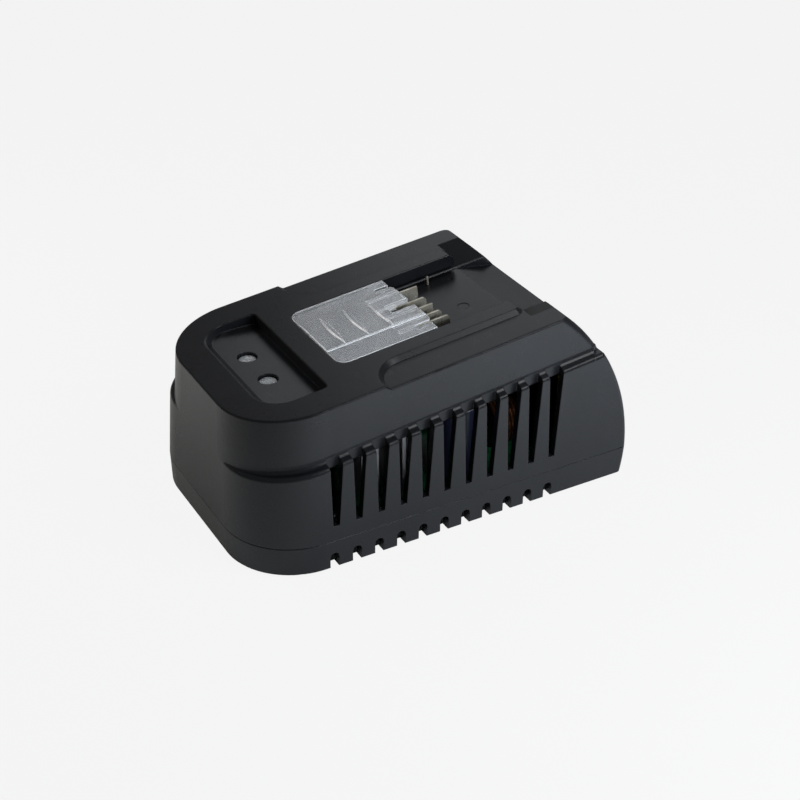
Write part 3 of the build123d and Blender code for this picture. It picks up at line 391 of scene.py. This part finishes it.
def ribbed_ribbon(tree):
    place = tree.node("TexCoord", output="Object")
    across = tree.node("SeparateXYZ", sockets={"Vector": place}, output="Y")
    rib = tree.math("SINE", across * RIB_RADIANS) * 0.5 + 0.5
    return principled(tree, {
        # The grey is darker in the grooves between ribs and lighter on their crests: painted shade.
        "Base Color": rib.mix((0.30, 0.30, 0.32), (0.48, 0.48, 0.50)),
        "Roughness": 0.45 + rib * 0.1,
        "Normal": bump(tree, rib, 0.0002, 0.8)})


finish("flat ribbon", ribbed_ribbon, "indicator_ribbon")

# ---------------------------------------------------------------- transformer and filter choke
# Sintered ferrite cores, enamelled copper turns, and yellow polyester tape over the transformer's
# winding. The filter capacitor is wrapped in the same tape.


def ferrite(tree):
    pores = noise(tree, 3000.0, 3.0, 0.7)
    return principled(tree, {
        "Base Color": pores.mix((0.030, 0.031, 0.034), (0.060, 0.061, 0.065)),
        "Roughness": 0.52 + pores * 0.2,
        "Normal": bump(tree, pores, 0.00003, 0.5)})


finish("ferrite", ferrite, "transformer_core", "line_choke_core")


def copper_turns(tree):
    place = tree.node("TexCoord", output="Object")
    turns = tree.node("TexWave", {"bands_direction": "X", "wave_profile": "SIN"},
                      {"Vector": place, "Scale": 220.0, "Distortion": 0.6, "Detail": 1.0})
    return principled(tree, {
        # The copper is darker in the grooves between turns and lighter on their crests: painted shade.
        "Base Color": turns.mix((0.07, 0.026, 0.012), (0.20, 0.085, 0.04)),
        "Metallic": 0.9,
        "Roughness": 0.22 + turns * 0.1,
        "Normal": bump(tree, turns, 0.0003, 0.8)})


finish("enamelled copper", copper_turns, "line_choke_windings")


def polyester_tape(tree):
    wrinkle = noise(tree, 160.0, 5.0, 0.6)
    return principled(tree, {
        "Base Color": wrinkle.mix((0.62, 0.42, 0.03), (0.78, 0.60, 0.07)),
        "Roughness": 0.2 + wrinkle * 0.15,
        "Normal": bump(tree, wrinkle, 0.0005, 0.5)})


finish("polyester tape", polyester_tape, "transformer_winding", "filter_capacitor")

# ---------------------------------------------------------------- capacitors and fuse
# Aluminium cans in dark shrink sleeve with a bare top, and a ceramic fuse with metal caps.

SLEEVE_END = 0.0005
FUSE_CAP = 0.0035
SOFT_LINE = 0.0002


def can_sleeve(top):
    """Sleeve up to this height in metres, bare aluminium above it."""
    def dress(tree):
        place = tree.node("TexCoord", output="Object")
        height = tree.node("SeparateXYZ", sockets={"Vector": place}, output="Z")
        bare = height.clip(top - SLEEVE_END - SOFT_LINE, top - SLEEVE_END)
        sheen = noise(tree, 400.0, 3.0)
        return principled(tree, {
            "Base Color": bare.mix((0.006, 0.007, 0.016), (0.45, 0.45, 0.46)),
            "Metallic": bare,
            "Roughness": 0.24 + sheen * 0.14,
            "Normal": bump(tree, sheen, 0.00005, 0.3)})
    return dress


for node in ("bulk_capacitor", "output_capacitors"):
    finish(f"{node} sleeve", can_sleeve(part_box(node)[1].z), node)


def fuse_ceramic(tree):
    place = tree.node("TexCoord", output="Object")
    along = tree.node("SeparateXYZ", sockets={"Vector": place}, output="X")
    low, high = (corner.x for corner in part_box("mains_fuse"))
    near, far = low + FUSE_CAP, high - FUSE_CAP
    cap = 1.0 - along.clip(near, near + SOFT_LINE / 2) + along.clip(far - SOFT_LINE / 2, far)
    speck = noise(tree, 1200.0, 3.0)
    return principled(tree, {
        "Base Color": cap.mix((0.78, 0.76, 0.70), (0.60, 0.60, 0.60)),
        "Metallic": cap,
        "Roughness": 0.28 + speck * 0.12,
        "Normal": bump(tree, speck, 0.00002, 0.4)})


finish("fuse ceramic and caps", fuse_ceramic, "mains_fuse")

# ---------------------------------------------------------------- semiconductors and heat sinks
# Dull black epoxy packages, clamped to aluminium extrusions that keep the die's fine lines.


def chip_epoxy(tree):
    grit = noise(tree, 3500.0, 2.0, 0.7)
    return principled(tree, {
        "Base Color": grit.mix((0.012, 0.012, 0.013), (0.022, 0.022, 0.023)),
        "Roughness": 0.5 + grit * 0.2,
        "Normal": bump(tree, grit, 0.00002, 0.5)})


finish("chip epoxy", chip_epoxy, "bridge_rectifier", "optocoupler", "controller_chip",
       "switching_transistor", "output_rectifier")


def extruded_aluminium(tree):
    place = tree.node("TexCoord", output="Object")
    drawn = tree.node("Mapping", sockets={"Vector": place, "Scale": (3000.0, 3000.0, 60.0)})
    lines = tree.node("TexNoise", sockets={"Vector": drawn, "Scale": 1.0, "Detail": 4.0})
    return principled(tree, {
        "Base Color": lines.mix((0.52, 0.52, 0.53), (0.68, 0.68, 0.69)),
        "Metallic": 1.0,
        "Roughness": 0.3 + lines * 0.15,
        "Normal": bump(tree, lines, 0.00003, 0.5)})


finish("extruded aluminium", extruded_aluminium, "primary_heat_sink", "output_heat_sink")
